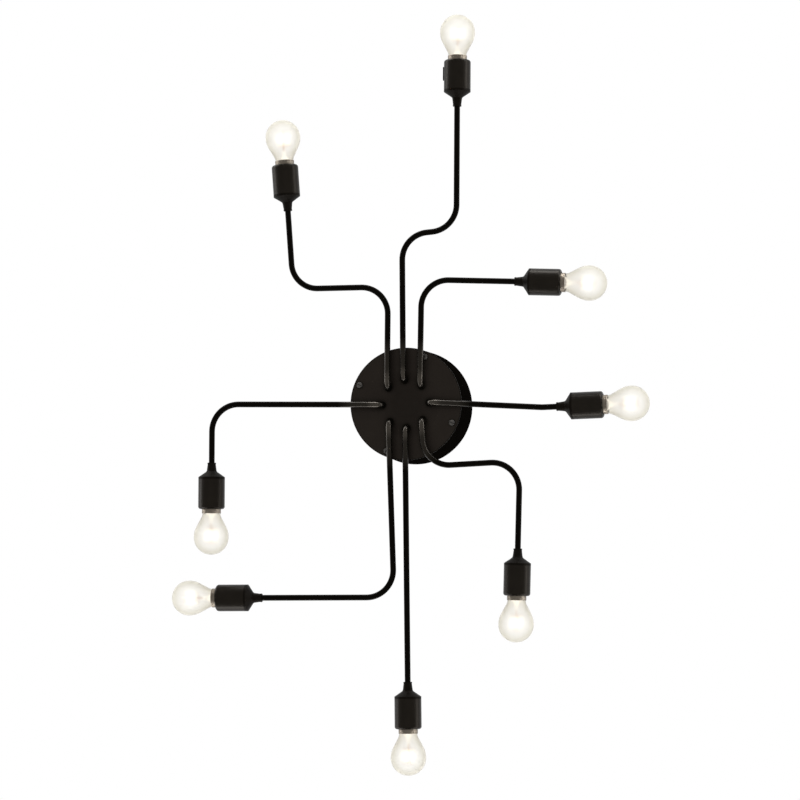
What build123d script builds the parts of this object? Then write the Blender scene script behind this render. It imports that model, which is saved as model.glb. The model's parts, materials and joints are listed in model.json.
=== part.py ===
"""Semi-flush ceiling light: a round canopy with eight bent arms, each with a lampholder and a bulb.

The origin is the middle of the canopy's ceiling face. +Z points up into the ceiling, so the light
hangs towards -Z. Seen from below with +X to the right, +Y points down the picture.
"""

import os
from math import cos, radians, sin, tan

from build123d import *

# Canopy
plate_diameter = 154.5
plate_thickness = 2.0
plate_edge_round = 0.7
pan_ceiling_diameter = 158.4
pan_height = 80.0
pan_sheet = 1.2
pan_corner_round = 3.0
pan_tab_length = 14.0
pan_tab_width = 14.0
pan_tab_thickness = 2.0

# Ceiling fixing and cable entry
ceiling_slot_spacing = 80.0
ceiling_slot_length = 20.0
ceiling_slot_width = 5.5
cable_hole_diameter = 16.0
grommet_bore = 9.0
grommet_flange_diameter = 21.0
grommet_flange_thickness = 2.0

# Screws of the front plate and of the pan, all with pan heads
screw_diameter = 4.0
screw_head_diameter = 8.4
screw_head_height = 3.0
screw_head_round = 1.8
screw_slot_width = 1.2
screw_slot_depth = 1.4
screw_fit = 0.15
plate_screw_count = 4
plate_screw_inset = 8.0
plate_screw_turn = 22.5
plate_screw_length = 8.0
screw_tip_cover = 0.2

# Junction block inside the pan
block_diameter = 38.0
block_bore = 23.0
block_height = 16.0
block_screw_circle = 30.0
block_screw_turn = 20.0
port_level = 10.0
port_depth = 6.0
port_diameter = 4.4
lead_entry = 5.0
earth_screw_radius = 56.0
earth_screw_turn = 90.0

# Arms
arm_count = 8
arm_circle = 64.5
arm_standoff = 12.0
tube_diameter = 8.0
tube_wall = 1.0
tube_fit = 0.15
stem_bend_radius = 10.5
arm_bend_radius = 37.0
stem_end_length = 10.0
bead_diameter = 9.6
bead_height = 1.0
tube_end_in_cap = 8.0
nut_sides = 6
nut_width = 13.0
nut_height = 5.0
nut_flange_diameter = 16.5
nut_flange_height = 1.0
lead_diameter = 3.6
lead_bend_radius = 8.0

# Runs of each arm, from its hole in the plate to its lampholder: length, and heading from +X
arm_runs = (
    ((198.7, -90.4), (75.8, -4.9), (169.1, -89.6)),
    ((145.5, -89.0), (128.8, 2.3)),
    ((158.0, 3.3), (20.0, -1.8)),
    ((64.8, 86.2), (131.7, -2.7), (118.5, 91.5)),
    ((346.6, 89.4),),
    ((240.7, 88.1), (184.3, 179.9)),
    ((237.3, -179.2), (80.7, 90.2)),
    ((138.3, -89.4), (133.0, 179.8), (108.6, -94.1)),
)
first_arm_angle = -92.4

# Lampholders, measured along the lamp's axis from the end of the neck
neck_length = 12.0
neck_end_diameter = 11.2
neck_lip_length = 2.0
neck_lip_height = 0.3
cone_start_diameter = 13.8
cone_length = 7.8
cone_foot_round = 4.0
shoulder_round = 3.5
cap_rim_length = 3.0
body_diameter = 36.6
body_length = 41.0
body_mouth_round = 3.5
mouth_bore = 28.8
block_seat_diameter = 30.4
spigot_length = 5.0
spigot_wall = 2.4
cap_wall = 3.0
pad_length = 19.0
pad_width = 7.0
pad_height = 1.2
pad_corner_round = 2.5
pad_mouth_gap = 9.0
# Turn of each raised pad about its lamp's axis: 0 is the left side seen from the ceiling, 90 its top
pad_turns = (180.0, 90.0, 90.0, 90.0, 90.0, 90.0, 90.0, 90.0)

# Socket inside the lampholder
socket_depth = 25.2
shell_bore = 27.0
shell_sheet = 0.6
shell_length = 19.0
shell_foot_bore = 19.0
holder_fit = 0.2
lead_hole_depth = 2.0
contact_width = 6.0
contact_sheet = 0.6
contact_foot = (-7.0, -4.0)
contact_top = (0.0, 3.0)

# Bulbs
base_diameter = 26.2
base_sheet = 0.5
base_length = 21.0
base_shown = 6.0
base_floor = 1.5
insulator_height = 3.5
insulator_end_diameter = 10.4
tip_diameter = 9.0
tip_height = 2.0
contact_gap = 0.3
glass_diameter = 47.8
glass_neck_diameter = 24.8
glass_neck_shown = 2.9
glass_neck_round = 10.0
glass_flank_angle = 27.5
glass_shoulder_round = 30.0
glass_belt_length = 0.5
glass_wall = 0.9
glass_in_base = 4.0
stem_diameter = 5.0
stem_flare_length = 14.0
stem_length = 21.0
filament_post_diameter = 1.2
filament_spread = 13.0
filament_length = 20.0
filament_diameter = 1.7
filament_count = 4
filament_gap = 3.0

# Levels and radii that several pieces share
rim_level = -pan_height
face_level = rim_level - plate_thickness
arm_level = face_level - arm_standoff
plate_radius = plate_diameter / 2
pan_ceiling_radius = pan_ceiling_diameter / 2
plate_screw_circle = plate_diameter - 2 * plate_screw_inset
arm_radius = arm_circle / 2
tube_radius = tube_diameter / 2
screw_hole_radius = screw_diameter / 2 + screw_fit
shoulder_place = neck_length + cone_length
cap_length = shoulder_place + cap_rim_length
mouth_place = cap_length + body_length
block_back = cap_length + spigot_length
block_front = mouth_place - socket_depth
glass_place = mouth_place + base_shown
base_tip = glass_place - base_length - insulator_height - tip_height

os.makedirs("parts", exist_ok=True)


def save(piece, name):
    piece.part.label = name
    export_step(piece.part, f"parts/{name}.step")


def polar(radius, angle, level):
    return Vector(radius * cos(radians(angle)), radius * sin(radians(angle)), level)


def hole_angle(arm):
    return first_arm_angle + arm * 360 / arm_count


def arm_corners(arm):
    """Corners of an arm in its own level, from its stem to the end of its lampholder's neck."""
    corners = [polar(arm_radius, hole_angle(arm), arm_level)]
    for length, heading in arm_runs[arm]:
        corners.append(corners[-1] + polar(length, heading, 0))
    return corners


def arm_radii(arm):
    return [stem_bend_radius] + [arm_bend_radius] * (len(arm_runs[arm]) - 1)


def lamp_direction(arm):
    return polar(1, arm_runs[arm][-1][1], 0)


def lamp_plane(arm):
    """Plane through a lamp's axis: local X runs along the lamp, from the neck to the bulb's tip."""
    return Plane(origin=arm_corners(arm)[-1], x_dir=lamp_direction(arm), z_dir=(0, 0, 1))


def lamp_axis(arm):
    return Axis(arm_corners(arm)[-1], lamp_direction(arm))


def screw_profile(seat, length):
    """Half section of a pan-head screw on its seat, with the shank up and the head below."""
    head_radius = screw_head_diameter / 2
    with BuildSketch(Plane(origin=seat, x_dir=(1, 0, 0), z_dir=(0, -1, 0))) as profile:
        with BuildLine():
            Polyline(
                (0, -screw_head_height),
                (head_radius, -screw_head_height),
                (head_radius, 0),
                (screw_diameter / 2, 0),
                (screw_diameter / 2, length),
                (0, length),
                close=True,
            )
        section = make_face()
        fillet(section.vertices().sort_by_distance((head_radius, -screw_head_height))[0], screw_head_round)
    return profile.sketch


# Ceiling pan: pressed from sheet, with a drafted wall, a closed ceiling face and four inner tabs
with BuildPart() as ceiling_pan:
    with BuildSketch(Plane.XZ):
        with BuildLine():
            Polyline(
                (0, 0),
                (pan_ceiling_radius, 0),
                (plate_radius, rim_level),
                (plate_radius - pan_sheet, rim_level),
                (pan_ceiling_radius - pan_sheet, -pan_sheet),
                (0, -pan_sheet),
                close=True,
            )
        pan_profile = make_face()
        outer_bend = pan_profile.vertices().sort_by_distance((pan_ceiling_radius, 0))[0]
        inner_bend = pan_profile.vertices().sort_by_distance((pan_ceiling_radius - pan_sheet, -pan_sheet))[0]
        fillet(outer_bend, pan_corner_round)
        fillet(inner_bend, pan_corner_round - pan_sheet)
    revolve(axis=Axis.Z)
    with BuildSketch(Plane.XY.offset(rim_level)):
        tab_reach = plate_radius - pan_sheet / 2 - pan_tab_length / 2
        with PolarLocations(tab_reach, plate_screw_count, start_angle=plate_screw_turn):
            Rectangle(pan_tab_length, pan_tab_width)
    extrude(amount=pan_tab_thickness)
    with BuildSketch(Plane.XY.offset(rim_level)):
        with PolarLocations(plate_screw_circle / 2, plate_screw_count, start_angle=plate_screw_turn):
            Circle(screw_hole_radius)
    extrude(amount=pan_tab_thickness, mode=Mode.SUBTRACT)
    with BuildSketch(Plane.XY):
        with GridLocations(ceiling_slot_spacing, 0, 2, 1):
            SlotOverall(ceiling_slot_length, ceiling_slot_width)
        Circle(cable_hole_diameter / 2)
        with PolarLocations(block_screw_circle / 2, 2, start_angle=block_screw_turn):
            Circle(screw_hole_radius)
        with PolarLocations(earth_screw_radius, 1, start_angle=earth_screw_turn):
            Circle(screw_hole_radius)
    extrude(amount=-pan_sheet, mode=Mode.SUBTRACT)
save(ceiling_pan, "ceiling_pan")

# Cable grommet: its barrel fills the cable hole and its flange lies inside the pan
with BuildPart() as cable_grommet:
    with BuildSketch(Plane.XY):
        Circle(cable_hole_diameter / 2 - screw_fit)
    extrude(amount=-pan_sheet)
    with BuildSketch(Plane.XY.offset(-pan_sheet)):
        Circle(grommet_flange_diameter / 2)
    extrude(amount=-grommet_flange_thickness)
    with BuildSketch(Plane.XY):
        Circle(grommet_bore / 2)
    extrude(amount=-pan_sheet - grommet_flange_thickness, mode=Mode.SUBTRACT)
save(cable_grommet, "cable_grommet")

# Junction block: a ring under the cable hole, with one port in its rim for each arm's lead
block_radius = block_diameter / 2
with BuildPart() as junction_block:
    with BuildSketch(Plane.XY.offset(-pan_sheet)):
        Circle(block_radius)
        Circle(block_bore / 2, mode=Mode.SUBTRACT)
        with PolarLocations(block_screw_circle / 2, 2, start_angle=block_screw_turn):
            Circle(screw_hole_radius, mode=Mode.SUBTRACT)
    extrude(amount=-block_height)
    for arm in range(arm_count):
        port = polar(block_radius, hole_angle(arm), -port_level)
        with BuildSketch(Plane(origin=port, z_dir=polar(1, hole_angle(arm), 0))):
            Circle(port_diameter / 2)
        extrude(amount=-port_depth, both=True, mode=Mode.SUBTRACT)
save(junction_block, "junction_block")

# Pan screws: two through the junction block, and the earth screw
block_screw_seat = -pan_sheet - block_height
with BuildPart() as pan_screws:
    for turn in (block_screw_turn, block_screw_turn + 180):
        seat = polar(block_screw_circle / 2, turn, block_screw_seat)
        revolve(screw_profile(seat, -block_screw_seat - screw_tip_cover), axis=Axis(seat, (0, 0, 1)))
    seat = polar(earth_screw_radius, earth_screw_turn, -pan_sheet)
    revolve(screw_profile(seat, pan_sheet - screw_tip_cover), axis=Axis(seat, (0, 0, 1)))
save(pan_screws, "pan_screws")

# Arm plate: the flat front of the canopy, with a hole for each stem and each plate screw
with BuildPart() as arm_plate:
    with BuildSketch(Plane.XY.offset(rim_level)):
        Circle(plate_radius)
    extrude(amount=-plate_thickness)
    fillet(arm_plate.edges().sort_by(Axis.Z)[0], plate_edge_round)
    with BuildSketch(Plane.XY.offset(rim_level)):
        with PolarLocations(arm_radius, arm_count, start_angle=first_arm_angle):
            Circle(tube_radius + tube_fit)
        with PolarLocations(plate_screw_circle / 2, plate_screw_count, start_angle=plate_screw_turn):
            Circle(screw_hole_radius)
    extrude(amount=-plate_thickness, mode=Mode.SUBTRACT)
save(arm_plate, "arm_plate")

# Plate screws: slotted pan heads on the plate's face, threaded into the pan's tabs
with BuildPart() as plate_screws:
    for index in range(plate_screw_count):
        turn = plate_screw_turn + index * 360 / plate_screw_count
        seat = polar(plate_screw_circle / 2, turn, face_level)
        revolve(screw_profile(seat, plate_screw_length), axis=Axis(seat, (0, 0, 1)))
        slot_level = seat - Vector(0, 0, screw_head_height)
        with BuildSketch(Plane(origin=slot_level, x_dir=polar(1, turn, 0), z_dir=(0, 0, 1))):
            Rectangle(screw_head_diameter, screw_slot_width)
        extrude(amount=screw_slot_depth, mode=Mode.SUBTRACT)
save(plate_screws, "plate_screws")

# Arms: each tube rises through the plate, turns into the arms' level and runs to its lampholder.
# A rolled bead on the stem rests on the plate's face.
for arm in range(arm_count):
    corners = arm_corners(arm)
    stem_end = polar(arm_radius, hole_angle(arm), rim_level + stem_end_length)
    tube_end = corners[-1] + lamp_direction(arm) * tube_end_in_cap
    bead_base = polar(arm_radius, hole_angle(arm), face_level)
    with BuildPart() as arm_tube:
        with BuildLine():
            FilletPolyline(stem_end, *corners[:-1], tube_end, radius=arm_radii(arm))
        with BuildSketch(Plane(origin=stem_end, z_dir=(0, 0, -1))):
            Circle(tube_radius)
            Circle(tube_radius - tube_wall, mode=Mode.SUBTRACT)
        sweep()
        with BuildSketch(Plane(origin=bead_base, x_dir=(1, 0, 0), z_dir=(0, -1, 0))):
            with BuildLine():
                Polyline(
                    (tube_radius - tube_wall / 2, 0),
                    (bead_diameter / 2, 0),
                    (bead_diameter / 2, -bead_height / 2),
                    (tube_radius, -bead_height),
                    (tube_radius - tube_wall / 2, -bead_height),
                    close=True,
                )
            make_face()
        revolve(axis=Axis(bead_base, (0, 0, 1)))
    save(arm_tube, f"arm_{arm + 1}")

# Flange nuts: one on each stem, inside the canopy
with BuildPart() as arm_nuts:
    with BuildSketch(Plane.XY.offset(rim_level)):
        with PolarLocations(arm_radius, arm_count, start_angle=first_arm_angle):
            Circle(nut_flange_diameter / 2)
            Circle(tube_radius + tube_fit, mode=Mode.SUBTRACT)
    extrude(amount=nut_flange_height)
    with BuildSketch(Plane.XY.offset(rim_level + nut_flange_height)):
        with PolarLocations(arm_radius, arm_count, start_angle=first_arm_angle):
            RegularPolygon(nut_width / 2, nut_sides, major_radius=False)
            Circle(tube_radius + tube_fit, mode=Mode.SUBTRACT)
    extrude(amount=nut_height - nut_flange_height)
save(arm_nuts, "arm_nuts")

# Lamp leads: from a port of the junction block, down the stem and along the arm to the contact block
with BuildPart() as lamp_leads:
    for arm in range(arm_count):
        corners = arm_corners(arm)
        port_end = polar(block_radius - lead_entry, hole_angle(arm), -port_level)
        lead_turn = polar(arm_radius, hole_angle(arm), -port_level)
        lead_end = corners[-1] + lamp_direction(arm) * (block_back + lead_hole_depth)
        with BuildLine():
            FilletPolyline(
                port_end,
                lead_turn,
                *corners[:-1],
                lead_end,
                radius=[lead_bend_radius] + arm_radii(arm),
            )
        with BuildSketch(Plane(origin=port_end, z_dir=polar(1, hole_angle(arm), 0))):
            Circle(lead_diameter / 2)
        sweep()
save(lamp_leads, "lamp_leads")

# Lampholder caps: neck with a lip, cone, rounded shoulder, and a spigot that enters the body
spigot_radius = block_seat_diameter / 2 - holder_fit
for arm in range(arm_count):
    with BuildPart() as lampholder_cap:
        with BuildSketch(lamp_plane(arm)):
            with BuildLine():
                Polyline(
                    (0, tube_radius + tube_fit),
                    (0, neck_end_diameter / 2 + neck_lip_height),
                    (neck_lip_length, neck_end_diameter / 2 + neck_lip_height),
                    (neck_lip_length, neck_end_diameter / 2),
                    (neck_length, cone_start_diameter / 2),
                    (shoulder_place, body_diameter / 2),
                    (cap_length, body_diameter / 2),
                    (cap_length, spigot_radius),
                    (block_back, spigot_radius),
                    (block_back, spigot_radius - spigot_wall),
                    (cap_length, spigot_radius - spigot_wall),
                    (neck_length + cap_wall, lead_diameter / 2 + tube_fit),
                    (tube_end_in_cap, lead_diameter / 2 + tube_fit),
                    (tube_end_in_cap, tube_radius + tube_fit),
                    close=True,
                )
            cap_profile = make_face()
            cone_foot = cap_profile.vertices().sort_by_distance((neck_length, cone_start_diameter / 2))[0]
            shoulder = cap_profile.vertices().sort_by_distance((shoulder_place, body_diameter / 2))[0]
            fillet(cone_foot, cone_foot_round)
            fillet(shoulder, shoulder_round)
        revolve(axis=lamp_axis(arm))
    save(lampholder_cap, f"lampholder_cap_{arm + 1}")

# Lampholder bodies: a cylinder with a raised pad, bored from both ends up to a ledge
pad_middle = mouth_place - pad_mouth_gap - pad_length / 2
for arm in range(arm_count):
    axis_plane = lamp_plane(arm)
    pad_side = axis_plane.y_dir.rotate(lamp_axis(arm), pad_turns[arm])
    pad_centre = axis_plane.origin + lamp_direction(arm) * pad_middle
    with BuildPart() as lampholder_body:
        with BuildSketch(axis_plane):
            with BuildLine():
                Polyline(
                    (cap_length, 0),
                    (cap_length, body_diameter / 2),
                    (mouth_place, body_diameter / 2),
                    (mouth_place, 0),
                    close=True,
                )
            body_profile = make_face()
            mouth_edge = body_profile.vertices().sort_by_distance((mouth_place, body_diameter / 2))[0]
            fillet(mouth_edge, body_mouth_round)
        revolve(axis=lamp_axis(arm))
        with BuildSketch(Plane(origin=pad_centre, x_dir=lamp_direction(arm), z_dir=pad_side)):
            RectangleRounded(pad_length, pad_width, pad_corner_round)
        extrude(amount=body_diameter / 2 + pad_height)
        with BuildSketch(axis_plane):
            with BuildLine():
                Polyline(
                    (cap_length, 0),
                    (cap_length, block_seat_diameter / 2),
                    (block_front, block_seat_diameter / 2),
                    (block_front, mouth_bore / 2),
                    (mouth_place, mouth_bore / 2),
                    (mouth_place, 0),
                    close=True,
                )
            make_face()
        revolve(axis=lamp_axis(arm), mode=Mode.SUBTRACT)
    save(lampholder_body, f"lampholder_body_{arm + 1}")

# Contact blocks: insulators held between each cap's spigot and its body's ledge
with BuildPart() as contact_blocks:
    for arm in range(arm_count):
        lead_hole_radius = lead_diameter / 2 + tube_fit
        with BuildSketch(lamp_plane(arm)):
            with BuildLine():
                Polyline(
                    (block_back, lead_hole_radius),
                    (block_back, spigot_radius),
                    (block_front, spigot_radius),
                    (block_front, 0),
                    (block_back + lead_hole_depth, 0),
                    (block_back + lead_hole_depth, lead_hole_radius),
                    close=True,
                )
            make_face()
        revolve(axis=lamp_axis(arm))
save(contact_blocks, "contact_blocks")

# Screw shells: sheet sleeves with a foot on the contact block
with BuildPart() as screw_shells:
    for arm in range(arm_count):
        with BuildSketch(lamp_plane(arm)):
            with BuildLine():
                Polyline(
                    (block_front, shell_foot_bore / 2),
                    (block_front, shell_bore / 2 + shell_sheet),
                    (block_front + shell_length, shell_bore / 2 + shell_sheet),
                    (block_front + shell_length, shell_bore / 2),
                    (block_front + shell_sheet, shell_bore / 2),
                    (block_front + shell_sheet, shell_foot_bore / 2),
                    close=True,
                )
            make_face()
        revolve(axis=lamp_axis(arm))
save(screw_shells, "screw_shells")

# Centre contacts: bent strips that rise from the contact block to the bulb's tip
foot_line = block_front + contact_sheet / 2
top_line = base_tip - contact_gap - contact_sheet / 2
with BuildPart() as centre_contacts:
    for arm in range(arm_count):
        with BuildSketch(lamp_plane(arm)):
            with BuildLine():
                Polyline(
                    (foot_line, contact_foot[0]),
                    (foot_line, contact_foot[1]),
                    (top_line, contact_top[0]),
                    (top_line, contact_top[1]),
                )
            trace(line_width=contact_sheet)
        extrude(amount=contact_width / 2, both=True)
save(centre_contacts, "centre_contacts")

# Bulb bases: a screw shell open towards the glass, an insulator and a tip
for arm in range(arm_count):
    base_radius = base_diameter / 2
    shell_end = glass_place - base_length
    with BuildPart() as bulb_base:
        with BuildSketch(lamp_plane(arm)):
            with BuildLine():
                Polyline(
                    (glass_place, base_radius - base_sheet),
                    (glass_place, base_radius),
                    (shell_end, base_radius),
                    (shell_end - insulator_height, insulator_end_diameter / 2),
                    (shell_end - insulator_height, tip_diameter / 2),
                    (base_tip, tip_diameter / 2),
                    (base_tip, 0),
                    (shell_end + base_floor, 0),
                    (shell_end + base_floor, base_radius - base_sheet),
                    close=True,
                )
            base_profile = make_face()
            fillet(base_profile.vertices().sort_by_distance((base_tip, tip_diameter / 2))[0], tip_height / 2)
        revolve(axis=lamp_axis(arm))
    save(bulb_base, f"bulb_base_{arm + 1}")

# Bulb glass: a pear-shaped envelope on a straight neck, with a stem sealed into the neck
neck_radius = glass_neck_diameter / 2
glass_radius = glass_diameter / 2
half_flank = tan(radians(glass_flank_angle / 2))
flank_foot = glass_place + glass_neck_shown
flank_head = flank_foot + (glass_radius - neck_radius) / tan(radians(glass_flank_angle))
widest_place = flank_head + glass_shoulder_round * half_flank + glass_belt_length
seal_place = glass_place - glass_in_base
stem_top = seal_place + stem_length
flare_top = seal_place + stem_flare_length


def draw_envelope(inset):
    """Outline of the envelope, from the neck to the tip, set in from its outer face."""
    widest = Vector(widest_place, glass_radius - inset)
    FilletPolyline(
        (seal_place + inset, neck_radius - inset),
        (flank_foot + inset * half_flank, neck_radius - inset),
        (flank_head + inset * half_flank, glass_radius - inset),
        widest,
        radius=[glass_neck_round + inset, glass_shoulder_round - inset],
    )
    TangentArc(widest, (widest_place + glass_radius - inset, 0), tangent=(1, 0))


for arm in range(arm_count):
    with BuildPart() as bulb_glass:
        with BuildSketch(lamp_plane(arm)):
            with BuildLine():
                draw_envelope(0)
                Line((widest_place + glass_radius, 0), (widest_place + glass_radius - glass_wall, 0))
                draw_envelope(glass_wall)
                Polyline(
                    (seal_place + glass_wall, neck_radius - glass_wall),
                    (flare_top, stem_diameter / 2),
                    (stem_top, stem_diameter / 2),
                    (stem_top, 0),
                    (flare_top, 0),
                    (flare_top - glass_wall, stem_diameter / 2 - glass_wall),
                    (seal_place, neck_radius - 2 * glass_wall),
                    (seal_place, neck_radius),
                )
            make_face()
        revolve(axis=lamp_axis(arm))
    save(bulb_glass, f"bulb_glass_{arm + 1}")

# Bulb filaments: a post on the stem's top, with two crosses that hold the upright filaments
cross_places = (stem_top + filament_gap, stem_top + filament_gap + filament_length)
for arm in range(arm_count):
    axis_plane = lamp_plane(arm)
    direction = lamp_direction(arm)
    with BuildPart() as bulb_filament:
        with BuildSketch(Plane(origin=axis_plane.origin + direction * stem_top, z_dir=direction)):
            Circle(filament_post_diameter / 2)
        extrude(amount=filament_gap + filament_length + filament_post_diameter / 2)
        for place in cross_places:
            cross_plane = Plane(origin=axis_plane.origin + direction * place, z_dir=direction)
            with BuildSketch(cross_plane):
                Rectangle(filament_spread, filament_post_diameter)
                Rectangle(filament_post_diameter, filament_spread)
            extrude(amount=filament_post_diameter / 2, both=True)
        with BuildSketch(Plane(origin=axis_plane.origin + direction * cross_places[0], z_dir=direction)):
            with PolarLocations(filament_spread / 2, filament_count):
                Circle(filament_diameter / 2)
        extrude(amount=filament_length)
    save(bulb_filament, f"bulb_filament_{arm + 1}")
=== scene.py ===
import json
import math

import bpy
from mathutils import Matrix, Vector


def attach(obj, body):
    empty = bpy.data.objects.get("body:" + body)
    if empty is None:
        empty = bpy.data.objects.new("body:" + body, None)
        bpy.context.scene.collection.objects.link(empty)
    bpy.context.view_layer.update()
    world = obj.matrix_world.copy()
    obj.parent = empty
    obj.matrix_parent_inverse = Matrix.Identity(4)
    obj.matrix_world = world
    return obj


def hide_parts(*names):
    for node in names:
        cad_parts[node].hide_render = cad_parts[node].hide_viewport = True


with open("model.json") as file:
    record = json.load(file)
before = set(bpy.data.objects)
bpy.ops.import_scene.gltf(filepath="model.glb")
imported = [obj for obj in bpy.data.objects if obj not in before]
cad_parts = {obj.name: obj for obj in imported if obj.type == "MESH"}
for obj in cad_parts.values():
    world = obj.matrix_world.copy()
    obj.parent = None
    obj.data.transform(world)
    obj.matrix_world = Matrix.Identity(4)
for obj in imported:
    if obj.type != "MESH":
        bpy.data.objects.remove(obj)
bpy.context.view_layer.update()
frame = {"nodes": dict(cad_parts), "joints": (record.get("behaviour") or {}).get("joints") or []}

MM = 0.001
FULL_TURN = 2 * math.pi
WHITE = (1, 1, 1)
LAMPS = range(1, 9)

# Bulb sizes in millimetres, with places measured along a lamp from the end of its neck
BASE_TIP = 43.3
SHELL_END = 48.8
SEAL = 65.8
RIM = 69.8
FLARE_TOP = 79.8
STEM_TOP = 86.8
LOW_CROSS = 89.8
HIGH_CROSS = 109.8
BASE_RADIUS = 13.1
GLASS_RADIUS = 23.9
GLASS_WALL = 0.9
NECK_RADIUS = 12.4
NECK_SHOWN = 2.9
NECK_ROUND = 10.0
FLANK_ANGLE = math.radians(27.5)
SHOULDER_ROUND = 30.0
BELT_LENGTH = 0.5
FILAMENT_REACH = 6.5


# Meshes

STEEP = 0.9


def lamp_matrix(number):
    """Puts local X along a lamp, with the end of its neck at the local origin."""
    joint = next(j for j in frame["joints"] if j["child"] == f"bulb_{number}")
    along = Vector(joint["axis"]).normalized()
    up = Vector((0, 0, 1))
    side = up.cross(along)
    corners = [v.co for v in frame["nodes"][f"lampholder_cap_{number}"].data.vertices]
    start = min(c.dot(along) for c in corners)
    across = [c.dot(side) for c in corners]
    levels = [c.z for c in corners]
    middle = (min(across) + max(across)) / 2
    level = (min(levels) + max(levels)) / 2
    origin = along * start + side * middle + up * level
    turn = Matrix((along, side, up)).transposed().to_4x4()
    return Matrix.Translation(origin) @ turn


def mesh_from(name, points, faces, sharp):
    """Mesh from points in millimetres, smooth except at edges sharper than an angle in degrees."""
    mesh = bpy.data.meshes.new(name)
    mesh.from_pydata([tuple(c * MM for c in p) for p in points], [], faces)
    mesh.validate()
    mesh.shade_smooth()
    mesh.set_sharp_from_angle(angle=math.radians(sharp))
    return mesh


def lathe(name, profile, segments=96, sharp=32, closed=False, shape=None):
    """Turns (place, radius) points about local X. shape(place, radius, turn) can vary the radius."""
    points = []
    rows = []
    for spot, radius in profile:
        if radius == 0.0:
            rows.append([len(points)])
            points.append((spot, 0.0, 0.0))
            continue
        row = []
        for step in range(segments):
            turn = FULL_TURN * step / segments
            reach = radius if shape is None else shape(spot, radius, turn)
            row.append(len(points))
            points.append((spot, reach * math.cos(turn), reach * math.sin(turn)))
        rows.append(row)
    if closed:
        rows.append(rows[0])
    faces = []
    for first, second in zip(rows, rows[1:]):
        for step in range(segments):
            after = (step + 1) % segments
            if len(first) == 1 and len(second) == 1:
                break
            if len(first) == 1:
                faces.append((first[0], second[after], second[step]))
            elif len(second) == 1:
                faces.append((first[step], first[after], second[0]))
            else:
                faces.append((first[step], first[after], second[after], second[step]))
    return mesh_from(name, points, faces, sharp)


def tube_along(path, radius, segments, taper=1.0):
    """Points and faces of a closed round bar along a path, with its ends drawn in by a taper."""
    points = []
    faces = []
    path = [Vector(p) for p in path]
    count = len(path)
    for index, spot in enumerate(path):
        ahead = path[min(index + 1, count - 1)] - path[max(index - 1, 0)]
        ahead.normalize()
        guide = Vector((0, 0, 1)) if abs(ahead.z) < STEEP else Vector((0, 1, 0))
        side = ahead.cross(guide).normalized()
        lift = side.cross(ahead)
        reach = radius * (taper if index in (0, count - 1) else 1.0)
        for step in range(segments):
            turn = FULL_TURN * step / segments
            points.append(spot + side * (reach * math.cos(turn)) + lift * (reach * math.sin(turn)))
    for index in range(count - 1):
        for step in range(segments):
            after = (step + 1) % segments
            low = index * segments
            high = low + segments
            faces.append((low + step, high + step, high + after, low + after))
    faces.append(tuple(range(segments)))
    faces.append(tuple(reversed(range((count - 1) * segments, count * segments))))
    return points, faces


def join_bars(name, bars, sharp=40):
    """One mesh from several bars."""
    points = []
    faces = []
    for bar_points, bar_faces in bars:
        shift = len(points)
        points.extend(bar_points)
        faces.extend(tuple(i + shift for i in f) for f in bar_faces)
    return mesh_from(name, points, faces, sharp)


def place(name, mesh, matrix, material, body, nodes=()):
    """Puts a piece on a body, in place of any nodes named."""
    piece = bpy.data.objects.new(name, mesh)
    bpy.context.scene.collection.objects.link(piece)
    piece.matrix_world = matrix
    if not mesh.materials:
        mesh.materials.append(material)
    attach(piece, body)
    if nodes:
        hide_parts(*nodes)


# Shader nodes


def principled(material):
    return material.node_tree.nodes["Principled BSDF"]


def object_spot(tree):
    return tree.nodes.new("ShaderNodeTexCoord").outputs["Object"]


def noise_node(tree, vector, scale, detail):
    node = tree.nodes.new("ShaderNodeTexNoise")
    node.inputs["Scale"].default_value = scale
    node.inputs["Detail"].default_value = detail
    tree.links.new(vector, node.inputs["Vector"])
    return node.outputs["Fac"]


def ramp_node(tree, value, stops):
    """Colour at a value, from stops of (value, colour)."""
    node = tree.nodes.new("ShaderNodeValToRGB")
    ramp = node.color_ramp
    while len(ramp.elements) < len(stops):
        ramp.elements.new(0.5)
    for element, (position, colour) in zip(ramp.elements, stops):
        element.position = position
        element.color = (*colour, 1)
    tree.links.new(value, node.inputs["Fac"])
    return node.outputs["Color"]


def range_node(tree, value, low_in, high_in, low_out, high_out):
    node = tree.nodes.new("ShaderNodeMapRange")
    node.inputs["From Min"].default_value = low_in
    node.inputs["From Max"].default_value = high_in
    node.inputs["To Min"].default_value = low_out
    node.inputs["To Max"].default_value = high_out
    tree.links.new(value, node.inputs["Value"])
    return node.outputs["Result"]


def level_ramp(tree, value, reach, stops):
    """Level at a value from 0 to reach, from stops of (value, level)."""
    share = range_node(tree, value, 0.0, reach, 0.0, 1.0)
    return ramp_node(tree, share, [(spot / reach, (level,) * 3) for spot, level in stops])


def math_node(tree, operation, first, second):
    node = tree.nodes.new("ShaderNodeMath")
    node.operation = operation
    tree.links.new(first, node.inputs[0])
    tree.links.new(second, node.inputs[1])
    return node.outputs["Value"]


def shade_node(tree, reach, stops):
    """Painted shade: a level by how far what stands within reach closes a spot in."""
    node = tree.nodes.new("ShaderNodeAmbientOcclusion")
    node.inputs["Distance"].default_value = reach
    return level_ramp(tree, node.outputs["AO"], 1.0, stops)


def background_rays(tree):
    """1 for rays that show a background to the camera, in gloss or through glass, and 0 for the rest."""
    rays = tree.nodes.new("ShaderNodeLightPath")
    shown = math_node(tree, "MAXIMUM", rays.outputs["Is Camera Ray"], rays.outputs["Is Glossy Ray"])
    return math_node(tree, "MAXIMUM", shown, rays.outputs["Is Transmission Ray"])


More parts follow.
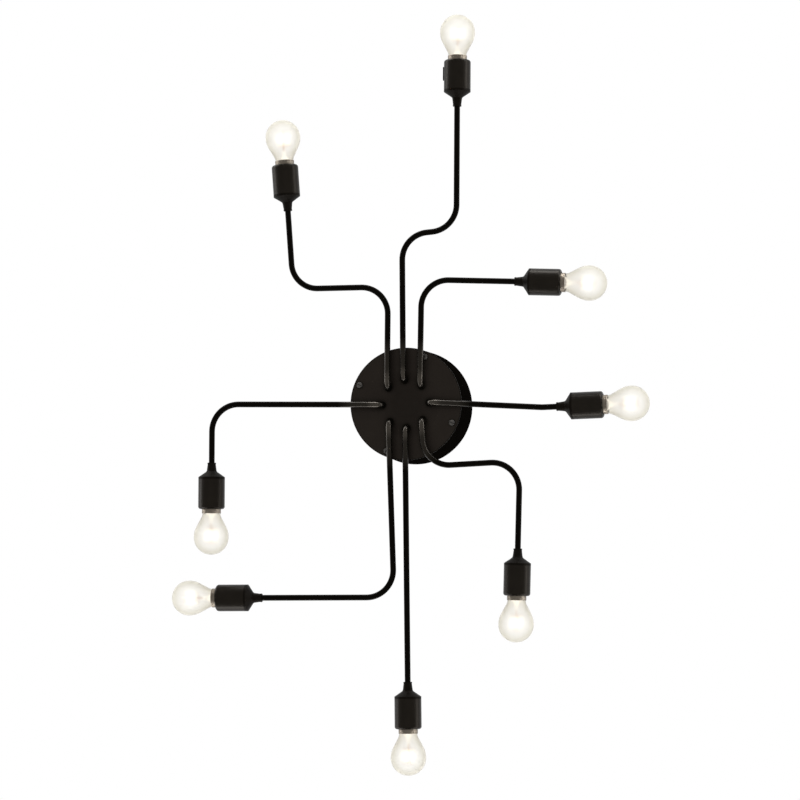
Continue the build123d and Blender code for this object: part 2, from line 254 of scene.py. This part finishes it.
def place_along(tree, axis):
    """An object coordinate, in metres."""
    parts = tree.nodes.new("ShaderNodeSeparateXYZ")
    tree.links.new(object_spot(tree), parts.inputs["Vector"])
    return parts.outputs[axis]


def axis_distance(tree):
    """Distance from the canopy's axis, in metres."""
    flat = tree.nodes.new("ShaderNodeVectorMath")
    flat.operation = "MULTIPLY"
    flat.inputs[1].default_value = (1, 1, 0)
    tree.links.new(object_spot(tree), flat.inputs[0])
    away = tree.nodes.new("ShaderNodeVectorMath")
    away.operation = "LENGTH"
    tree.links.new(flat.outputs["Vector"], away.inputs[0])
    return away.outputs["Value"]


def relief_node(tree, shader, height, strength, depth):
    node = tree.nodes.new("ShaderNodeBump")
    node.inputs["Strength"].default_value = strength
    node.inputs["Distance"].default_value = depth
    tree.links.new(height, node.inputs["Height"])
    tree.links.new(node.outputs["Normal"], shader.inputs["Normal"])


def scale_paint(material, level):
    """Multiplies a finish's colour by a level, which paints shade or light into it."""
    tree = material.node_tree
    colour = principled(material).inputs["Base Color"]
    paint = tree.nodes.new("ShaderNodeVectorMath")
    paint.operation = "SCALE"
    tree.links.new(colour.links[0].from_socket, paint.inputs["Vector"])
    tree.links.new(level, paint.inputs["Scale"])
    tree.links.new(paint.outputs["Vector"], colour)


# Finishes

CLOUD_SHARE = 0.06
CLOUD_DETAIL = 4.0
GRAIN_DETAIL = 3.0
GRAIN_DEPTH = 0.0001
NOISE_LOW = 0.3
NOISE_HIGH = 0.7
WAVE_SCALE = 60.0
WAVE_DETAIL = 2.0
WAVE_STRENGTH = 0.05
WAVE_DEPTH = 0.0002


def surface(name, colour, deep, roughness, spread, grain, bump, metallic=0.0, specular=0.5, tint=WHITE):
    """Procedural finish: two colours mixed by a soft noise, with fine grain in its gloss and its surface."""
    material = bpy.data.materials.new(name)
    material.use_nodes = True
    tree = material.node_tree
    shader = principled(material)
    shader.inputs["Metallic"].default_value = metallic
    shader.inputs["Specular IOR Level"].default_value = specular
    shader.inputs["Specular Tint"].default_value = (*tint, 1)
    spot = object_spot(tree)
    cloud = noise_node(tree, spot, grain * CLOUD_SHARE, CLOUD_DETAIL)
    fine = noise_node(tree, spot, grain, GRAIN_DETAIL)
    blend = ramp_node(tree, cloud, [(NOISE_LOW, deep), (NOISE_HIGH, colour)])
    tree.links.new(blend, shader.inputs["Base Color"])
    gloss = range_node(tree, fine, NOISE_LOW, NOISE_HIGH, roughness - spread, roughness + spread)
    tree.links.new(gloss, shader.inputs["Roughness"])
    relief_node(tree, shader, fine, bump, GRAIN_DEPTH)
    return material


def glass(name, clear, edge, band, bend, roughness, neck=WHITE):
    """Clear glass, deeper in colour towards its outline and its neck.

    band: facing shares where the edge's colour starts and is full. bend: the glass's IOR.
    roughness: values at two places along a lamp, in metres.
    """
    material = bpy.data.materials.new(name)
    material.use_nodes = True
    tree = material.node_tree
    shader = principled(material)
    shader.inputs["Transmission Weight"].default_value = 1.0
    shader.inputs["IOR"].default_value = bend
    facing = tree.nodes.new("ShaderNodeLayerWeight")
    facing.inputs["Blend"].default_value = 0.5
    band_start, band_full = band
    blend = ramp_node(tree, facing.outputs["Facing"], [(band_start, clear), (band_full, edge)])
    along = place_along(tree, "X")
    (low_place, low_rough), (high_place, high_rough) = roughness
    gloss = range_node(tree, along, low_place, high_place, low_rough, high_rough)
    tree.links.new(gloss, shader.inputs["Roughness"])
    near = range_node(tree, along, low_place, high_place, 0.0, 1.0)
    colour = tree.nodes.new("ShaderNodeVectorMath")
    colour.operation = "MULTIPLY"
    tree.links.new(blend, colour.inputs[0])
    tree.links.new(ramp_node(tree, near, [(0.0, neck), (1.0, WHITE)]), colour.inputs[1])
    tree.links.new(colour.outputs["Vector"], shader.inputs["Base Color"])
    wave = noise_node(tree, object_spot(tree), WAVE_SCALE, WAVE_DETAIL)
    relief_node(tree, shader, wave, WAVE_STRENGTH, WAVE_DEPTH)
    return material


WARM = (1.0, 0.88, 0.74)

# The plate's paint is darkened by painted shade at its middle, around what stands on it and along its edge,
# and its gloss follows that painted shade
PLATE_GLOSS = 0.06
PLATE_REACH = 0.080
PLATE_SHADE_STOPS = [(0.018, 0.74), (0.034, 1.0), (0.0760, 1.0), (0.0764, 0.35)]
CONTACT_SHADE_REACH = 0.007
CONTACT_SHADE_STOPS = [(0.45, 0.48), (0.95, 1.0)]
SHADE_REACH = 0.040
SHADE_STOPS = [(0.30, 0.15), (0.95, 1.0)]
STEM_RING = (0.034, 0.048)
OUTER_SHADE = 0.3
canopy_shaded_paint = surface(
    "canopy_shaded_paint", (0.0150, 0.0120, 0.0099), (0.0127, 0.0101, 0.0084),
    roughness=0.45, spread=0.05, grain=900, bump=0.05, specular=PLATE_GLOSS, tint=WARM,
)
tree = canopy_shaded_paint.node_tree
radius = axis_distance(tree)
# Painted shade: close around the stems and arms, and wider within the ring of stems
contact_shade = shade_node(tree, CONTACT_SHADE_REACH, CONTACT_SHADE_STOPS)
stem_ring_shade = tree.nodes.new("ShaderNodeMix")
stem_ring_shade.inputs["A"].default_value = 1.0
tree.links.new(range_node(tree, radius, *STEM_RING, 1.0, OUTER_SHADE), stem_ring_shade.inputs["Factor"])
tree.links.new(shade_node(tree, SHADE_REACH, SHADE_STOPS), stem_ring_shade.inputs["B"])
shaded = math_node(tree, "MULTIPLY", contact_shade, stem_ring_shade.outputs["Result"])
plate_painted_shade = math_node(tree, "MULTIPLY", shaded, level_ramp(tree, radius, PLATE_REACH, PLATE_SHADE_STOPS))
scale_paint(canopy_shaded_paint, plate_painted_shade)
shaded_plate_gloss = range_node(tree, plate_painted_shade, 0.0, 1.0, 0.0, PLATE_GLOSS)
tree.links.new(shaded_plate_gloss, principled(canopy_shaded_paint).inputs["Specular IOR Level"])

# The pan's wall is painted near black with no gloss, as painted shade, and the face against the ceiling is
# paler
PAN_FACE = (-0.0012, -0.0004)
PAN_FACE_LIFT = 5.0
pan_shaded_paint = surface(
    "pan_shaded_paint", (0.0025, 0.0020, 0.0016), (0.0018, 0.0015, 0.0012),
    roughness=0.80, spread=0.05, grain=900, bump=0.10, specular=0.0,
)
tree = pan_shaded_paint.node_tree
scale_paint(pan_shaded_paint, range_node(tree, place_along(tree, "Z"), *PAN_FACE, 1.0, PAN_FACE_LIFT))

# The arms' paint is glossier over the canopy than beyond it, and dull on the stems
ARM_IOR = 2.0
GLOSS_REACH = 0.12
GLOSS_STOPS = [(0.031, 0.12), (0.037, 0.30), (0.044, 0.26), (0.052, 0.115), (0.074, 0.098), (0.092, 0.009)]
STEM_LEVELS = (-0.090, -0.084)
STEM_GLOSS = 0.12
arm_paint = surface(
    "arm_paint", (0.0020, 0.0016, 0.0010), (0.0014, 0.0011, 0.0008),
    roughness=0.22, spread=0.03, grain=900, bump=0.02, specular=0.10, tint=WARM,
)
tree = arm_paint.node_tree
arm_shader = principled(arm_paint)
arm_shader.inputs["IOR"].default_value = ARM_IOR
shine = level_ramp(tree, axis_distance(tree), GLOSS_REACH, GLOSS_STOPS)
stem = range_node(tree, place_along(tree, "Z"), *STEM_LEVELS, 1.0, STEM_GLOSS)
tree.links.new(math_node(tree, "MULTIPLY", shine, stem), arm_shader.inputs["Specular IOR Level"])

# The screws' heads are painted pale on their faces as a painted highlight, and darkened on their flanks as
# painted shade
SCREW_SHADE_LEVELS = (-0.0850, -0.0832)
SCREW_FLANK_SHADE = 0.12
screw_lit_shaded_paint = surface(
    "screw_lit_shaded_paint", (0.062, 0.057, 0.051), (0.044, 0.040, 0.036),
    roughness=0.40, spread=0.06, grain=1500, bump=0.06, specular=0.25,
)
tree = screw_lit_shaded_paint.node_tree
scale_paint(screw_lit_shaded_paint, range_node(tree, place_along(tree, "Z"), *SCREW_SHADE_LEVELS, 1.0, SCREW_FLANK_SHADE))

holder_plastic = surface(
    "holder_plastic", (0.0062, 0.0050, 0.0038), (0.0047, 0.0038, 0.0029),
    roughness=0.33, spread=0.04, grain=1200, bump=0.05, specular=0.11, tint=WARM,
)
cap_plastic = surface(
    "cap_plastic", (0.0040, 0.0032, 0.0024), (0.0030, 0.0024, 0.0018),
    roughness=0.40, spread=0.04, grain=1200, bump=0.05, specular=0.04, tint=WARM,
)
rubber = surface(
    "grommet_rubber", (0.020, 0.020, 0.020), (0.013, 0.013, 0.013),
    roughness=0.70, spread=0.06, grain=1200, bump=0.15, specular=0.3,
)
nylon = surface(
    "block_nylon", (0.74, 0.72, 0.67), (0.66, 0.64, 0.59),
    roughness=0.50, spread=0.05, grain=1200, bump=0.10,
)
zinc = surface(
    "zinc_steel", (0.62, 0.61, 0.58), (0.48, 0.48, 0.47),
    roughness=0.34, spread=0.08, grain=1200, bump=0.10, metallic=1.0,
)
sheath = surface(
    "lead_sheath", (0.024, 0.024, 0.024), (0.016, 0.016, 0.016),
    roughness=0.60, spread=0.06, grain=1200, bump=0.12,
)
insulator = surface(
    "socket_insulator", (0.70, 0.66, 0.58), (0.62, 0.58, 0.50),
    roughness=0.55, spread=0.05, grain=1200, bump=0.12,
)
brass = surface(
    "socket_brass", (0.72, 0.55, 0.26), (0.58, 0.42, 0.18),
    roughness=0.30, spread=0.08, grain=1200, bump=0.08, metallic=1.0,
)
nickel = surface(
    "base_nickel", (0.22, 0.19, 0.155), (0.15, 0.13, 0.105),
    roughness=0.42, spread=0.08, grain=1500, bump=0.05, metallic=1.0,
)
solder = surface(
    "base_solder", (0.60, 0.59, 0.57), (0.44, 0.43, 0.41),
    roughness=0.42, spread=0.10, grain=1800, bump=0.20, metallic=1.0,
)
vitrite = surface(
    "base_vitrite", (0.012, 0.009, 0.012), (0.007, 0.005, 0.007),
    roughness=0.22, spread=0.05, grain=1500, bump=0.06,
)
wire_metal = surface(
    "filament_wire", (0.72, 0.40, 0.20), (0.58, 0.28, 0.12),
    roughness=0.32, spread=0.06, grain=2000, bump=0.05, metallic=1.0,
)
envelope_glass = glass(
    "bulb_envelope", (0.990, 0.986, 0.972), (0.876, 0.857, 0.799), band=(0.05, 0.48), bend=1.20,
    roughness=((0.072, 0.28), (0.090, 0.62)), neck=(0.96, 0.945, 0.915),
)

# The stem glows faintly by its own emission, painted light for the filament's light that it catches
STEM_PAINTED_GLOW = 0.10
stem_glass = glass(
    "bulb_stem", (0.985, 0.975, 0.95), (0.93, 0.90, 0.84), band=(0.30, 0.65), bend=1.45,
    roughness=((0.070, 0.06), (0.092, 0.10)),
)
stem_shader = principled(stem_glass)
stem_shader.inputs["Emission Color"].default_value = (1.0, 0.95, 0.88, 1)
stem_shader.inputs["Emission Strength"].default_value = STEM_PAINTED_GLOW

# The filament sticks glow most about their middle
GLOW_REACH = 0.120
GLOW_SCALE = 4.0
GLOW_STOPS = [(0.0905, 0.5), (0.0985, 1.8), (0.1040, 1.6), (0.1090, 0.9)]
filament_glow = surface(
    "filament_glow", (0.95, 0.80, 0.45), (0.90, 0.70, 0.35),
    roughness=0.55, spread=0.05, grain=1800, bump=0.10,
)
tree = filament_glow.node_tree
glow_shader = principled(filament_glow)
glow_shader.inputs["Emission Color"].default_value = (1.0, 0.95, 0.86, 1)
glow_shares = [(spot, strength / GLOW_SCALE) for spot, strength in GLOW_STOPS]
glow = level_ramp(tree, place_along(tree, "X"), GLOW_REACH, glow_shares)
glow_strength = range_node(tree, glow, 0.0, 1.0, 0.0, GLOW_SCALE)
tree.links.new(glow_strength, glow_shader.inputs["Emission Strength"])

NODE_FINISH = {
    "ceiling_pan": pan_shaded_paint,
    "cable_grommet": rubber,
    "junction_block": nylon,
    "pan_screws": zinc,
    "arm_plate": canopy_shaded_paint,
    "plate_screws": screw_lit_shaded_paint,
    "arm_nuts": zinc,
    "lamp_leads": sheath,
    "contact_blocks": insulator,
    "screw_shells": brass,
    "centre_contacts": brass,
}
for number in LAMPS:
    NODE_FINISH[f"arm_{number}"] = arm_paint
    NODE_FINISH[f"lampholder_cap_{number}"] = cap_plastic
    NODE_FINISH[f"lampholder_body_{number}"] = holder_plastic
for node, material in NODE_FINISH.items():
    mesh = frame["nodes"][node].data
    mesh.materials.clear()
    mesh.materials.append(material)

# Bulb envelope: the outer face from the seal to the tip, then the inner face back
NECK_STEPS = 4
HOLLOW_STEPS = 12
SWELL_STEPS = 16
DOME_STEPS = 36


def envelope(inset):
    """Profile of the glass, drawn in by an inset."""
    half = math.tan(FLANK_ANGLE / 2)
    foot = RIM + NECK_SHOWN + inset * half
    head = foot + (GLASS_RADIUS - NECK_RADIUS) / math.tan(FLANK_ANGLE)
    waist = NECK_RADIUS - inset
    belly = GLASS_RADIUS - inset
    hollow = NECK_ROUND + inset
    swell = SHOULDER_ROUND - inset
    neck_end = foot - hollow * half
    widest = head + swell * half
    dome = widest + BELT_LENGTH
    profile = [(SEAL + (neck_end - SEAL) * step / NECK_STEPS, waist) for step in range(NECK_STEPS)]
    for step in range(HOLLOW_STEPS + 1):
        angle = FLANK_ANGLE * step / HOLLOW_STEPS
        profile.append((neck_end + hollow * math.sin(angle), waist + hollow * (1 - math.cos(angle))))
    for step in range(SWELL_STEPS + 1):
        angle = FLANK_ANGLE * (1 - step / SWELL_STEPS)
        profile.append((widest - swell * math.sin(angle), belly - swell * (1 - math.cos(angle))))
    for step in range(DOME_STEPS):
        angle = math.pi / 2 * step / DOME_STEPS
        profile.append((dome + belly * math.sin(angle), belly * math.cos(angle)))
    profile.append((dome + belly, 0.0))
    return profile


envelope_mesh = lathe("bulb_envelope", envelope(0) + envelope(GLASS_WALL)[::-1], closed=True)

# Stem: a flared tube that closes to a solid post
STEM_OUTER = [
    (SEAL + 0.4, 11.3), (SEAL + 1.4, 10.6), (SEAL + 3.2, 8.6), (SEAL + 5.5, 6.3), (SEAL + 8.5, 4.3),
    (SEAL + 11.5, 3.1), (FLARE_TOP, 2.5), (FLARE_TOP + 3.0, 2.3), (STEM_TOP - 1.0, 2.3),
    (STEM_TOP - 0.2, 1.7), (STEM_TOP, 0.0),
]
STEM_INNER = [
    (FLARE_TOP - 1.0, 0.0), (FLARE_TOP - 1.6, 1.0), (SEAL + 11.0, 2.1), (SEAL + 8.0, 3.4),
    (SEAL + 5.0, 5.5), (SEAL + 2.8, 7.8), (SEAL + 1.0, 9.8), (SEAL + 0.4, 10.4),
]
stem_mesh = lathe("bulb_stem", STEM_OUTER + STEM_INNER, segments=48, closed=True)

# Screw base: rolled rim, skirt with a row of punched dimples, and a rolled thread
THREAD_PITCH = 3.63
THREAD_DEPTH = 0.85
THREAD_START = RIM - 5.6
THREAD_END = SHELL_END + 1.4
THREAD_FADE = 1.6
DIMPLES = 14
DIMPLE_PLACE = RIM - 1.9
DIMPLE_LENGTH = 0.75
DIMPLE_WIDTH = 0.85
DIMPLE_DEPTH = 0.55


def base_shape(spot, radius, turn):
    """Radius of the base with its thread and dimples."""
    fade_in = min(max((THREAD_START - spot) / THREAD_FADE, 0.0), 1.0)
    fade_out = min(max((spot - THREAD_END) / THREAD_FADE, 0.0), 1.0)
    wave = 0.5 - 0.5 * math.cos(FULL_TURN * spot / THREAD_PITCH - turn)
    reach = radius - THREAD_DEPTH * wave * min(fade_in, fade_out)
    nearest = (turn * DIMPLES / FULL_TURN + 0.5) % 1.0 - 0.5
    around = nearest * FULL_TURN / DIMPLES * radius
    pit = math.exp(-((spot - DIMPLE_PLACE) / DIMPLE_LENGTH) ** 2 - (around / DIMPLE_WIDTH) ** 2)
    return reach - DIMPLE_DEPTH * pit


SKIRT_STEPS = 92
SKIRT_START = SHELL_END + 0.35
SKIRT_LENGTH = RIM - SHELL_END - 0.8
base_profile = [
    (SHELL_END - 0.1, BASE_RADIUS - 2.0),
    (SHELL_END, BASE_RADIUS - 0.9),
    (SHELL_END + 0.2, BASE_RADIUS - 0.2),
]
for step in range(SKIRT_STEPS + 1):
    base_profile.append((SKIRT_START + SKIRT_LENGTH * step / SKIRT_STEPS, BASE_RADIUS))
base_profile += [(RIM - 0.15, BASE_RADIUS - 0.08), (RIM, BASE_RADIUS - 0.35), (RIM, BASE_RADIUS - 0.75)]
base_mesh = lathe("bulb_base", base_profile, segments=168, sharp=50, shape=base_shape)

# Glass insulator and solder tip that close the base's end
VITRITE_PROFILE = [
    (SHELL_END - 3.5, 4.0), (SHELL_END - 3.5, 5.2), (SHELL_END - 3.0, 6.4), (SHELL_END - 1.8, 8.2),
    (SHELL_END - 0.2, BASE_RADIUS - 2.0), (SHELL_END + 0.4, BASE_RADIUS - 1.6),
]
TIP_PROFILE = [
    (BASE_TIP, 0.0), (BASE_TIP, 1.5), (BASE_TIP + 0.08, 3.0), (BASE_TIP + 0.35, 4.0),
    (BASE_TIP + 0.9, 4.4), (SHELL_END - 4.0, 4.5), (SHELL_END - 3.2, 4.5),
]
vitrite_mesh = lathe("bulb_insulator", VITRITE_PROFILE, segments=64)
tip_mesh = lathe("bulb_contact", TIP_PROFILE, segments=48)

# Filament frame: glowing sticks between two wire crosses, on a post from the stem
POST_ROOT = 3.0
POST_RADIUS = 0.5
POST_SIDES = 12
STICK_COUNT = 4
STICK_GAP = 0.6
STICK_TIP = 0.6
STICK_RADIUS = 0.85
STICK_SIDES = 16
STICK_TAPER = 0.6
WIRE_RADIUS = 0.35
WIRE_SIDES = 10
HOOK_LENGTH = 0.9
post_path = [(STEM_TOP - POST_ROOT, 0, 0), (STEM_TOP, 0, 0), (HIGH_CROSS + POST_RADIUS, 0, 0)]
stick_foot = LOW_CROSS + STICK_GAP
stick_head = HIGH_CROSS - STICK_GAP
stick_places = (stick_foot, stick_foot + STICK_TIP, stick_head - STICK_TIP, stick_head)
sticks = []
wires = [tube_along(post_path, POST_RADIUS, POST_SIDES)]
for index in range(STICK_COUNT):
    turn = FULL_TURN * index / STICK_COUNT
    across = (FILAMENT_REACH * math.cos(turn), FILAMENT_REACH * math.sin(turn))
    stick_path = [(spot, *across) for spot in stick_places]
    sticks.append(tube_along(stick_path, STICK_RADIUS, STICK_SIDES, taper=STICK_TAPER))
    for cross, hook in ((LOW_CROSS, HOOK_LENGTH), (HIGH_CROSS, -HOOK_LENGTH)):
        wires.append(tube_along([(cross, 0, 0), (cross, *across)], WIRE_RADIUS, WIRE_SIDES))
        wires.append(tube_along([(cross, *across), (cross + hook, *across)], WIRE_RADIUS, WIRE_SIDES))
stick_mesh = join_bars("bulb_sticks", sticks)
wire_mesh = join_bars("bulb_wires", wires)

for number in LAMPS:
    matrix = lamp_matrix(number)
    body = f"bulb_{number}"
    glass_node = f"bulb_glass_{number}"
    base_node = f"bulb_base_{number}"
    filament_node = f"bulb_filament_{number}"
    place(f"envelope_{number}", envelope_mesh, matrix, envelope_glass, body, [glass_node])
    place(f"stem_{number}", stem_mesh, matrix, stem_glass, body)
    place(f"base_{number}", base_mesh, matrix, nickel, body, [base_node])
    place(f"base_insulator_{number}", vitrite_mesh, matrix, vitrite, body)
    place(f"base_tip_{number}", tip_mesh, matrix, solder, body)
    place(f"sticks_{number}", stick_mesh, matrix, filament_glow, body, [filament_node])
    place(f"wires_{number}", wire_mesh, matrix, wire_metal, body)

# Stage: a plain pale floor, far below the light
FLOOR_LEVEL = -6.0
FLOOR_REACH = 150.0
FLOOR_GLOW = 0.45
FLOOR_CORNERS = ((-1, -1), (1, -1), (1, 1), (-1, 1))
floor_points = [(x * FLOOR_REACH, y * FLOOR_REACH, FLOOR_LEVEL) for x, y in FLOOR_CORNERS]
floor_mesh = bpy.data.meshes.new("floor")
floor_mesh.from_pydata(floor_points, [], [(0, 1, 2, 3)])
floor = bpy.data.objects.new("floor", floor_mesh)
bpy.context.scene.collection.objects.link(floor)
floor_paint = surface(
    "floor_pale", (0.80, 0.80, 0.79), (0.77, 0.77, 0.76),
    roughness=0.85, spread=0.04, grain=60, bump=0.02, specular=0.2,
)
floor_mesh.materials.append(floor_paint)
tree = floor_paint.node_tree
floor_shader = principled(floor_paint)
floor_shader.inputs["Emission Color"].default_value = (1, 1, 0.99, 1)
floor_glow = range_node(tree, background_rays(tree), 0.0, 1.0, 0.0, FLOOR_GLOW)
tree.links.new(floor_glow, floor_shader.inputs["Emission Strength"])

# Soft studio light: a ring of boxes level with the arms, and a wide box below and above
RING_BOXES = 12
RING_REACH = 1.72
RING_SIZE = (1.0, 0.5)
RING_POWER = 8.5
RING_TOWARDS_TOP = 0.22
RING_TOWARDS_RIGHT = 0.07
RING_TOWARDS_ENDS = 0.38
FILL_SIZE = (2.4, 2.4)
FILL_BOXES = {"below": (-2.2, 44.0), "above": (2.2, 30.0)}
ARM_LEVEL = (0, 0, -0.094)


def softbox(name, spot, size, power):
    """Area light aimed at the arms' level."""
    lamp = bpy.data.lights.new(name, "AREA")
    lamp.shape = "RECTANGLE"
    lamp.size, lamp.size_y = size
    lamp.energy = power
    box = bpy.data.objects.new(name, lamp)
    bpy.context.scene.collection.objects.link(box)
    box.location = spot
    box.rotation_mode = "QUATERNION"
    box.rotation_quaternion = (Vector(ARM_LEVEL) - Vector(spot)).to_track_quat("-Z", "Y")
    box.visible_camera = False
    box.visible_transmission = False
    return box


for index in range(RING_BOXES):
    turn = FULL_TURN * (index + 0.5) / RING_BOXES
    across = math.cos(turn)
    down = math.sin(turn)
    ends = math.cos(2 * turn)
    share = 1.0 - RING_TOWARDS_TOP * down + RING_TOWARDS_RIGHT * across - RING_TOWARDS_ENDS * ends
    spot = (RING_REACH * across, RING_REACH * down, 0.0)
    softbox(f"softbox_ring_{index + 1}", spot, RING_SIZE, RING_POWER * share)
for name, (height, power) in FILL_BOXES.items():
    fill = softbox(f"softbox_{name}", (0, 0, height), FILL_SIZE, power)
    fill.visible_glossy = False

# World: soft light on the object, and white as a background
SOFT_STRENGTH = 0.15
WHITE_STRENGTH = 1.0
world = bpy.data.worlds.new("studio")
bpy.context.scene.world = world
world.use_nodes = True
tree = world.node_tree
soft = tree.nodes["Background"]
soft.inputs["Color"].default_value = (1, 1, 1, 1)
soft.inputs["Strength"].default_value = SOFT_STRENGTH
white = tree.nodes.new("ShaderNodeBackground")
white.inputs["Color"].default_value = (1, 1, 1, 1)
white.inputs["Strength"].default_value = WHITE_STRENGTH
mix = tree.nodes.new("ShaderNodeMixShader")
tree.links.new(background_rays(tree), mix.inputs["Fac"])
tree.links.new(soft.outputs["Background"], mix.inputs[1])
tree.links.new(white.outputs["Background"], mix.inputs[2])
tree.links.new(mix.outputs["Shader"], tree.nodes["World Output"].inputs["Surface"])

bpy.context.scene.view_settings.view_transform = "Standard"

# Camera: below the light and a little to one side, so that the pan's wall shows
CAMERA_AIM = Vector((-0.005646, -0.004615, -0.094))
CAMERA_SPOT = Vector((0.83741, 0.30223, -4.50366))
PICTURE_UP = Vector((0, -1, 0))
SENSOR_WIDTH = 36.0
LENS = 148.352
CLIP_START = 0.01
CLIP_END = 400.0
ahead = (CAMERA_AIM - CAMERA_SPOT).normalized()
right = ahead.cross(PICTURE_UP).normalized()
upward = right.cross(ahead)
camera_data = bpy.data.cameras.new("camera")
camera_data.sensor_width = SENSOR_WIDTH
camera_data.lens = LENS
camera_data.clip_start = CLIP_START
camera_data.clip_end = CLIP_END
camera = bpy.data.objects.new("camera", camera_data)
bpy.context.scene.collection.objects.link(camera)
turn_matrix = Matrix((right, upward, -ahead)).transposed().to_4x4()
camera.matrix_world = Matrix.Translation(CAMERA_SPOT) @ turn_matrix
bpy.context.scene.camera = camera
